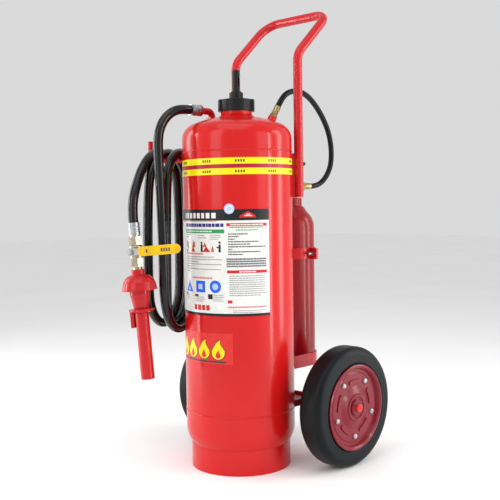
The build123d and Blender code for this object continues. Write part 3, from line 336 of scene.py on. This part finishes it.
OUTLET_ROUTE = [
    Vector((-0.084, -0.095, 0.975)),
    Vector((-0.084, -0.132, 0.975)),
    Vector((-0.085, -0.167, 0.961)),
    Vector((-0.086, -0.194, 0.934)),
    Vector((-0.085, -0.209, 0.898)),
    Vector((-0.083, -0.210, 0.842)),
    Vector((-0.082, -0.207, 0.770)),
    Vector((-0.080, -0.206, 0.700)),
    Vector((-0.079, -0.204, 0.615)),
    Vector((-0.080, -0.203, 0.535)),
    on_coil(0.161, 105, 0.149),
    on_coil(0.165, 132, 0.147),
    on_coil(0.168, 160, 0.139),
    on_coil(0.168, 188, 0.128),
]
NOZZLE_ROUTE = [
    beside(0.225, 0.036, 0.864),
    beside(0.226, 0.084, 0.848),
    beside(0.227, 0.130, 0.812),
    beside(0.229, 0.166, 0.764),
    NOZZLE_TOP - NOZZLE_DOWN * 0.042,
    NOZZLE_TOP,
]
GAS_ROUTE = [
    INLET_TOP,
    INLET_TOP + INLET_AXIS * 0.028,
    Vector((0.070, 0.130, 1.024)),
    Vector((0.066, 0.168, 1.034)),
    Vector((0.059, 0.213, 1.033)),
    Vector((0.048, 0.266, 1.016)),
    Vector((0.036, 0.322, 0.981)),
    Vector((0.024, 0.371, 0.936)),
    Vector((0.014, 0.398, 0.886)),
    Vector((0.007, 0.405, 0.838)),
    Vector((0.004, 0.392, 0.806)),
    Vector((0.002, 0.367, 0.781)),
    Vector((0, 0.335, 0.768)),
    Vector((0, 0.307, 0.768)),
]


def coil_q(degrees):
    """How far out the hose lies after so many degrees of winding: even steps between the stops."""
    for (start, near), (end, far) in zip(COIL_STOPS, COIL_STOPS[1:]):
        if degrees <= end:
            return near + (far - near) * (degrees - start) / (end - start)
    return COIL_STOPS[-1][1]


def coil_route():
    """The turns of the coil: from its first rise at the back to the top of its last turn."""
    radius = COIL_HALF_W / cos(radians(COIL_STEP / 2))
    first_rise, end = COIL_STOPS[0][0], COIL_STOPS[-1][0]
    return [on_coil(coil_q(degrees), degrees, radius) for degrees in range(first_rise, end, COIL_STEP)]


def lay_hose(name, route, radius, slot, replaced):
    """A round hose along one smooth spline that has the route's points as its control points."""
    curve = bpy.data.curves.new(name, "CURVE")
    curve.dimensions = "3D"
    curve.bevel_depth = radius
    curve.bevel_resolution = 10
    curve.resolution_u = 16
    curve.use_fill_caps = True
    spline = curve.splines.new("NURBS")
    spline.points.add(len(route) - 1)
    for control, point in zip(spline.points, route):
        control.co = (*(VESSEL + point), 1)
    spline.order_u = 3
    spline.use_endpoint_u = True
    curve.materials.append(SLOT_MATERIALS[slot])
    hose = link(name, curve)
    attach(hose, FRAME_BODY)
    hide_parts(*replaced)
    return hose


discharge_hose = lay_hose(
    "discharge_hose", OUTLET_ROUTE + coil_route() + NOZZLE_ROUTE, HOSE_R, "hose_rubber",
    ["hose_outlet_run", "hose_coil", "hose_nozzle_run"],
)
gas_line = lay_hose("gas_line", GAS_ROUTE, GAS_HOSE_R, "gas_hose_rubber", ["gas_hose"])

# ------------------------------------------------------------------ printed sheets on the shell
SHEET_GAP = 0.0002
PRINT_SHARE = 0.7
CUT_STEP = 0.006


def box_shape(left, right, low, high):
    """A rectangle in millimetres of the shell's unrolled front."""
    return [(left, low), (right, low), (right, high), (left, high)]


def round_shape(centre, radius, corners=40):
    """A disc's outline."""
    u, z = centre
    steps = [2 * pi * corner / corners for corner in range(corners)]
    return [(u + radius * cos(step), z + radius * sin(step)) for step in steps]


def wrap(name, shapes, material, layer, slope=0.0):
    """Closed thin prints on the shell, from outlines (u, z): u runs round from the front, in millimetres.

    layer counts sheets from the shell outwards; slope raises a print toward the right, per metre.
    """
    work = bmesh.new()
    for shape in shapes:
        work.faces.new([work.verts.new((u / 1000, 0, z / 1000)) for u, z in shape])
    spread = [vertex.co.x for vertex in work.verts]
    first = ceil(min(spread) / CUT_STEP)
    last = ceil(max(spread) / CUT_STEP)
    for cut in range(first, last):
        geometry = work.verts[:] + work.edges[:] + work.faces[:]
        bmesh.ops.bisect_plane(
            work, geom=geometry, plane_co=(cut * CUT_STEP, 0, 0), plane_no=(1, 0, 0), dist=1e-7
        )
    inner = SHELL_R + SHEET_GAP * (layer + 0.5)
    raised = bmesh.ops.extrude_face_region(work, geom=work.faces[:])
    for vertex in raised["geom"]:
        if isinstance(vertex, bmesh.types.BMVert):
            vertex.co.y = SHEET_GAP * PRINT_SHARE
    for vertex in work.verts:
        u, lift, z = vertex.co
        turn = u / SHELL_R - pi / 2
        reach = inner + lift
        vertex.co = VESSEL + Vector((cos(turn) * reach, sin(turn) * reach, z + slope * u))
    bmesh.ops.recalc_face_normals(work, faces=work.faces[:])
    piece_from(work, name, material, FRAME_BODY)


INK = {
    "paper": printed("label_paper", (0.80, 0.80, 0.77)),
    "black": printed("ink_black", (0.012, 0.012, 0.014)),
    "grey": printed("ink_grey", (0.16, 0.16, 0.17)),
    "pale_grey": printed("ink_pale_grey", (0.30, 0.30, 0.31)),
    "dark_grey": printed("ink_dark_grey", (0.05, 0.05, 0.055)),
    "red": printed("ink_red", (0.62, 0.02, 0.025)),
    "pink": printed("ink_pink", (0.66, 0.20, 0.20)),
    "green": printed("ink_green", (0.02, 0.30, 0.085)),
    "navy": printed("ink_navy", (0.03, 0.025, 0.20)),
    "blue": printed("ink_blue", (0.008, 0.13, 0.75)),
    "sky": printed("ink_sky", (0.45, 0.58, 0.80)),
    "orange": printed("ink_orange", (0.55, 0.12, 0.03)),
    "yellow": printed("band_yellow", (0.90, 0.74, 0.006)),
    "patch": printed("patch_red", (0.70, 0.03, 0.025)),
    "strip": printed("strip_red", (0.42, 0.012, 0.03)),
}
LABEL_HALF_W = 201
LABEL_LOW = 426
LABEL_HIGH = 704
HEADER_LOW = 675
words = random.Random(7)


def line_of_words(left, right, middle, height, fill=0.82, unit=5.0):
    """A row of short bars, as a line of print looks from a distance."""
    bars = []
    place = left
    while place < right - 0.4 * unit:
        width = min(words.uniform(0.5, 1.7) * unit, right - place)
        bars.append(box_shape(place, place + width * fill, middle - height / 2, middle + height / 2))
        place += width
    return bars


def paragraph(left, rights, top, pitch, height, **style):
    """Lines of print one below another, each with its own right end."""
    bars = []
    for row, right in enumerate(rights):
        bars += line_of_words(left, right, top - row * pitch, height, **style)
    return bars


def make_label():
    """The white instruction label: a black header, two columns seen from the front right, one beyond."""
    paper = box_shape(-LABEL_HALF_W, LABEL_HALF_W, LABEL_LOW, LABEL_HIGH)
    wrap("label_sheet", [paper], INK["paper"], 0)
    edges = [
        box_shape(-LABEL_HALF_W, LABEL_HALF_W, HEADER_LOW, LABEL_HIGH),
        box_shape(-LABEL_HALF_W, LABEL_HALF_W, LABEL_LOW, LABEL_LOW + 7),
    ]
    wrap("label_header", edges, INK["black"], 1)
    header_blocks = []
    for left, width in ((-62, 10), (-50, 12), (-34, 13), (-18, 12), (-3, 13), (13, 12), (28, 14), (45, 15)):
        header_blocks.append(box_shape(left, left + width - 2.5, 681, 695))
    wrap("label_header_blocks", header_blocks, INK["paper"], 2)
    triangle = [(120, 682), (164, 682), (162, 688), (143, 699), (122, 688)]
    wrap("label_header_mark", [triangle], INK["red"], 2)
    mark_bars = [box_shape(133, 153, 686, 688), box_shape(138, 148, 690, 692)]
    wrap("label_header_mark_bars", mark_bars, INK["paper"], 3)

    red = [
        box_shape(-LABEL_HALF_W, 60, 672.6, 674),
        box_shape(86, 194, 660, 668),
        box_shape(86, 193, 538, 546),
        box_shape(87, 99, 460, 468),
        box_shape(-57, -50, 592, 598), box_shape(-57, -52, 606, 622),
    ]
    for block in range(4):
        red.append(box_shape(-19 + block * 14.5, -8 + block * 14.5, 440, 454))
    red += [
        [(-30, 593), (-22, 610), (-14, 593)], [(15, 593), (27, 608), (41, 593)],
        box_shape(-190, -95, 660, 668), box_shape(-190, -95, 538, 546),
    ]
    wrap("label_red", red, INK["red"], 1)
    white_in_bars = line_of_words(96, 184, 664, 3.2, unit=6) + line_of_words(118, 164, 542, 3.2, unit=6)
    wrap("label_bar_words", white_in_bars + line_of_words(-52, 50, 647, 3.4, unit=9), INK["paper"], 3)

    wrap("label_navy", line_of_words(-61, 80, 663, 9, fill=0.86, unit=9), INK["navy"], 1)
    wrap("label_green", [box_shape(-60, 80, 642, 652)], INK["green"], 1)
    green_words = line_of_words(94, 184, 657, 2.4) + line_of_words(110, 170, 650, 2.4)
    wrap("label_green_words", green_words, INK["green"], 1)

    black = [
        box_shape(-50, -46, 600, 618), box_shape(9, 16, 593, 613), round_shape((12, 617), 3.2, 16),
        box_shape(64, 70, 593, 613), round_shape((67, 618), 3.2, 16), box_shape(58, 66, 604, 607),
        box_shape(-61, -54, 476, 484), box_shape(-17, -2, 476, 481), box_shape(31, 45, 470, 483),
    ]
    wrap("label_black", black, INK["black"], 1)
    flames = [
        [(43, 593), (50, 593), (51, 599), (47, 610), (43, 600)],
        [(-27, 605), (-20, 622), (-13, 618), (-12, 605)], [(17, 606), (22, 619), (30, 606)],
    ]
    wrap("label_flames", flames, INK["orange"], 1)

    blue = [
        [(-60, 487), (-25, 487), (-42, 516)], box_shape(-11, 22, 487, 517), round_shape((53, 503), 16.5),
    ]
    wrap("label_blue", blue, INK["blue"], 1)
    wrap(
        "label_blue_marks",
        [box_shape(-2, 13, 495, 509), round_shape((53, 503), 8.5), [(-48, 491), (-36, 491), (-42, 501)]],
        INK["sky"], 2,
    )

    pale = paragraph(-58, [-30, -44], 638, 6, 2.2, unit=4)
    pale += paragraph(0, [22, 30], 636, 6, 2.2, unit=4) + paragraph(40, [72, 70, 66], 637, 5, 2, unit=4)
    pale += paragraph(-56, [51, 73, 3, 72, -28, 70, -36], 580, 6.4, 2.4)
    pale += paragraph(-58, [-42, -44, -46], 477, 5.2, 2, unit=3)
    pale += paragraph(-12, [18, 20, 14], 474, 5.2, 2, unit=3)
    pale += paragraph(47, [76, 78, 72, 77], 481, 5, 2, unit=3)
    pale += paragraph(92, [190, 191, 188, 191, 190, 192, 189, 191, 190, 178], 531, 5.6, 2.3)
    pale += paragraph(100, [188, 176], 441, 5, 2, unit=4)
    pale += paragraph(-192, [-100] * 14, 650, 7.2, 2.6)
    wrap("label_pale_words", pale, INK["pale_grey"], 1)

    dark = paragraph(90, [143, 118, 108, 172, 148, 192, 101, 176, 128], 640, 6.6, 2.9)
    wrap("label_words", dark, INK["dark_grey"], 1)
    dense = paragraph(85, [192, 191, 192, 192], 575, 6.2, 4.2, fill=0.88, unit=4)
    wrap("label_dense_words", dense, INK["grey"], 1)
    pink = line_of_words(87, 191, 450, 4) + line_of_words(-56, 18, 588, 4.4)
    pink += line_of_words(-27, 46, 525, 4.4)
    wrap("label_pink_words", pink, INK["pink"], 1)
    wrap("label_side_words", paragraph(-192, [-98] * 12, 528, 7.4, 2.8), INK["grey"], 1)


def make_sticker():
    """A round pale inspection sticker over the header's upper edge."""
    centre = (94, 705)
    wrap("sticker_disc", [round_shape(centre, 13.5)], INK["sky"], 3)
    wrap("sticker_ring", [round_shape(centre, 9.5)], INK["paper"], 4)
    wrap("sticker_dot", [round_shape(centre, 6.5)], INK["sky"], 5)


BAND_HALF_W = 0.97 * pi * SHELL_R * 1000
BAND_SLOPE = 0.004
TAPE_LOWS = (793, 820)
TAPE_H = 16.5
MARK_SPACING = 91
PATCH_LOW = 300
PATCH_HIGH = 381
PATCH_HALF_W = 98
FLAME_CENTRES = (-74, -30, 14, 58)


def make_bands():
    """Two yellow tapes round the shell with a darker red strip between and small dark marks."""
    tapes = [box_shape(-BAND_HALF_W, BAND_HALF_W, low, low + TAPE_H) for low in TAPE_LOWS]
    wrap("yellow_tapes", tapes, INK["yellow"], 0, slope=BAND_SLOPE)
    strip = box_shape(-BAND_HALF_W, BAND_HALF_W, 809.8, 819.7)
    wrap("tape_strip", [strip], INK["strip"], 0, slope=BAND_SLOPE)
    marks = []
    for repeat in range(-4, 5):
        middle = 34 + repeat * MARK_SPACING
        for low in TAPE_LOWS:
            for offset in (-14, -7, 0, 7):
                marks.append(box_shape(middle + offset, middle + offset + 4, low + 5, low + 11.5))
    wrap("tape_marks", marks, INK["dark_grey"], 1, slope=BAND_SLOPE)


def make_front_patch():
    """A plain patch low on the front with four yellow flames in dark outlines."""
    wrap("front_patch", [box_shape(-PATCH_HALF_W, PATCH_HALF_W, PATCH_LOW, PATCH_HIGH)], INK["patch"], 0)
    rims = []
    flames = []
    cores = []
    for centre in FLAME_CENTRES:
        rims.append(flame_shape(centre, 310, 20.5, 57))
        flames.append(flame_shape(centre, 312, 18.5, 52))
        cores.append(flame_shape(centre, 315, 7, 22))
    wrap("patch_rims", rims + [box_shape(-95, 80, 303.5, 308)], INK["dark_grey"], 1)
    wrap("patch_flames", flames, INK["yellow"], 2)
    wrap("patch_cores", cores, INK["patch"], 3)


def flame_shape(centre, low, half_width, height):
    """A plain pictogram flame: a round foot that rises to one point, leaning a little."""
    foot = [
        (centre + half_width * sin(radians(turn)), low + half_width * (1 - cos(radians(turn))))
        for turn in range(-110, 111, 10)
    ]
    shoulder = low + 0.62 * height
    tip = [
        (centre + 0.62 * half_width, shoulder), (centre + 0.30 * half_width, low + 0.80 * height),
        (centre + 0.34 * half_width, low + height), (centre - 0.25 * half_width, low + 0.84 * height),
        (centre - 0.66 * half_width, shoulder),
    ]
    return foot + tip


make_label()
make_sticker()
make_bands()
make_front_patch()


# ------------------------------------------------------------------ small fittings
RING_SIDES = 96
BALL_DROP = 0.076
SLEEVE_FACE = 0.035
MARK_PLACES = (0.046, 0.088, 0.095, 0.102, 0.109)
MARK_HALF_W = 0.0022
MARK_HALF_H = 0.0045
MARK_BACK = 0.00005
MARK_FACE = 0.0002
SCREW_TURN = radians(115)
SCREW_Z = 1.063
SCREW_R = 0.003
SCREW_FLATNESS = 0.6
RELIEF_R = 0.0105


def ring_band(name, centre, inner, outer, low, high, body, slot):
    """A thin chamfered washer about a vertical axis."""
    bevel = min(high - low, outer - inner) * 0.2
    outline = [
        (inner, low), (outer - bevel, low), (outer, low + bevel), (outer, high - bevel),
        (outer - bevel, high), (inner, high),
    ]
    work = bmesh.new()
    rings = []
    for side in range(RING_SIDES):
        turn = 2 * pi * side / RING_SIDES
        direction = Vector((cos(turn), sin(turn), 0))
        rings.append([work.verts.new(centre + direction * radius + UP * z) for radius, z in outline])
    for side in range(RING_SIDES):
        here, there = rings[side], rings[(side + 1) % RING_SIDES]
        for corner in range(len(outline)):
            after = (corner + 1) % len(outline)
            work.faces.new((here[corner], there[corner], there[after], here[after]))
    bmesh.ops.recalc_face_normals(work, faces=work.faces[:])
    piece_from(work, name, SLOT_MATERIALS[slot], body)


def make_cap_washer():
    """The bright washer between the filler cap and the relief valve's collar."""
    low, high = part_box("relief_collar")
    radius = (high.x - low.x) / 2
    ring_band(
        "cap_washer", VESSEL, radius - 0.0012, radius + 0.0015, low.z + 0.0002, low.z + 0.0024,
        "cap", "zinc_steel",
    )


def make_lever_marks():
    """Short dark bars printed on the lever's yellow sleeve."""
    along = UP * sin(NOZZLE_TILT) - OUT * cos(NOZZLE_TILT)
    foot = VESSEL + NOZZLE_TOP + NOZZLE_DOWN * BALL_DROP + FRONT * SLEEVE_FACE
    work = bmesh.new()
    for middle in MARK_PLACES:
        sheets = []
        for lift in (MARK_BACK, MARK_FACE):
            centre = foot + FRONT * lift + along * middle
            corners = [
                centre + along * (MARK_HALF_W * side) + NOZZLE_DOWN * (MARK_HALF_H * rise)
                for side, rise in ((-1, -1), (1, -1), (1, 1), (-1, 1))
            ]
            sheets.append([work.verts.new(corner) for corner in corners])
            work.faces.new(sheets[-1])
        back, front = sheets
        for near, far in ((0, 1), (1, 2), (2, 3), (3, 0)):
            work.faces.new((back[near], back[far], front[far], front[near]))
    bmesh.ops.recalc_face_normals(work, faces=work.faces[:])
    piece_from(work, "lever_marks", INK["dark_grey"], "valve_handle")


def make_relief_screw():
    """A small domed screw head high on the side of the relief valve."""
    work = bmesh.new()
    bmesh.ops.create_uvsphere(work, u_segments=24, v_segments=12, radius=SCREW_R)
    outward = Vector((sin(SCREW_TURN), -cos(SCREW_TURN), 0))
    flatten = Matrix.Diagonal((1, 1, SCREW_FLATNESS, 1))
    place = VESSEL + outward * RELIEF_R + UP * SCREW_Z
    turn = outward.to_track_quat("Z", "Y").to_matrix().to_4x4()
    bmesh.ops.transform(work, matrix=Matrix.Translation(place) @ turn @ flatten, verts=work.verts[:])
    screw = piece_from(work, "relief_screw", SLOT_MATERIALS["brass"], "cap")
    screw.data.shade_smooth()


make_cap_washer()
make_lever_marks()
make_relief_screw()


# ------------------------------------------------------------------ floor and light
def make_stage():
    """A plain pale floor that runs out of view."""
    floor = link("floor", bpy.data.meshes.new("floor"))
    work = bmesh.new()
    bmesh.ops.create_grid(work, x_segments=8, y_segments=8, size=14)
    work.to_mesh(floor.data)
    work.free()
    recipe = Recipe("floor_paper")
    recipe.join(
        recipe.bands(recipe.noise(2.0, detail=3.0), (0.3, (0.95, 0.95, 0.95)), (0.7, (0.98, 0.98, 0.98))),
        recipe.shader.inputs["Base Color"],
    )
    recipe.shader.inputs["Roughness"].default_value = 0.6
    recipe.shader.inputs["Specular IOR Level"].default_value = 0.1
    floor.data.materials.append(recipe.material)


def softbox(name, place, target, width, height, power):
    """A rectangular studio light aimed at a point."""
    light = bpy.data.lights.new(name, "AREA")
    light.shape = "RECTANGLE"
    light.size = width
    light.size_y = height
    light.energy = power
    box = link(name, light)
    box.location = place
    box.rotation_euler = (Vector(target) - Vector(place)).to_track_quat("-Z", "Y").to_euler()


def around(azimuth, distance, height):
    """A point round the vessel: azimuth 0 is in front, growing toward the right wheel."""
    turn = radians(azimuth)
    return VESSEL + Vector((sin(turn) * distance, -cos(turn) * distance, height))


def make_lights():
    """Soft boxes in front, behind and above, a narrow strip on each side, and an even pale sky."""
    middle = around(0, 0, 0.65)
    softbox("key", around(2, 2.6, 1.7), middle, 1.1, 2.2, 18)
    softbox("fill", around(96, 2.8, 1.2), middle, 0.9, 2.2, 10)
    softbox("rim_right", around(140, 2.4, 1.1), middle, 0.6, 2.2, 22)
    softbox("rim_left", around(-72, 2.4, 1.2), middle, 0.6, 2.2, 17)
    softbox("top", around(30, 0.9, 3.0), middle, 2.0, 2.0, 16)
    softbox("strip_left", around(-46, 2.0, 0.8), middle, 0.14, 1.7, 16)
    softbox("strip_right", around(112, 2.0, 0.8), middle, 0.14, 1.7, 12)
    world = bpy.data.worlds.new("studio")
    world.use_nodes = True
    world.node_tree.nodes["Background"].inputs["Color"].default_value = (1, 1, 1, 1)
    world.node_tree.nodes["Background"].inputs["Strength"].default_value = 0.7
    scene.world = world


make_stage()
make_lights()
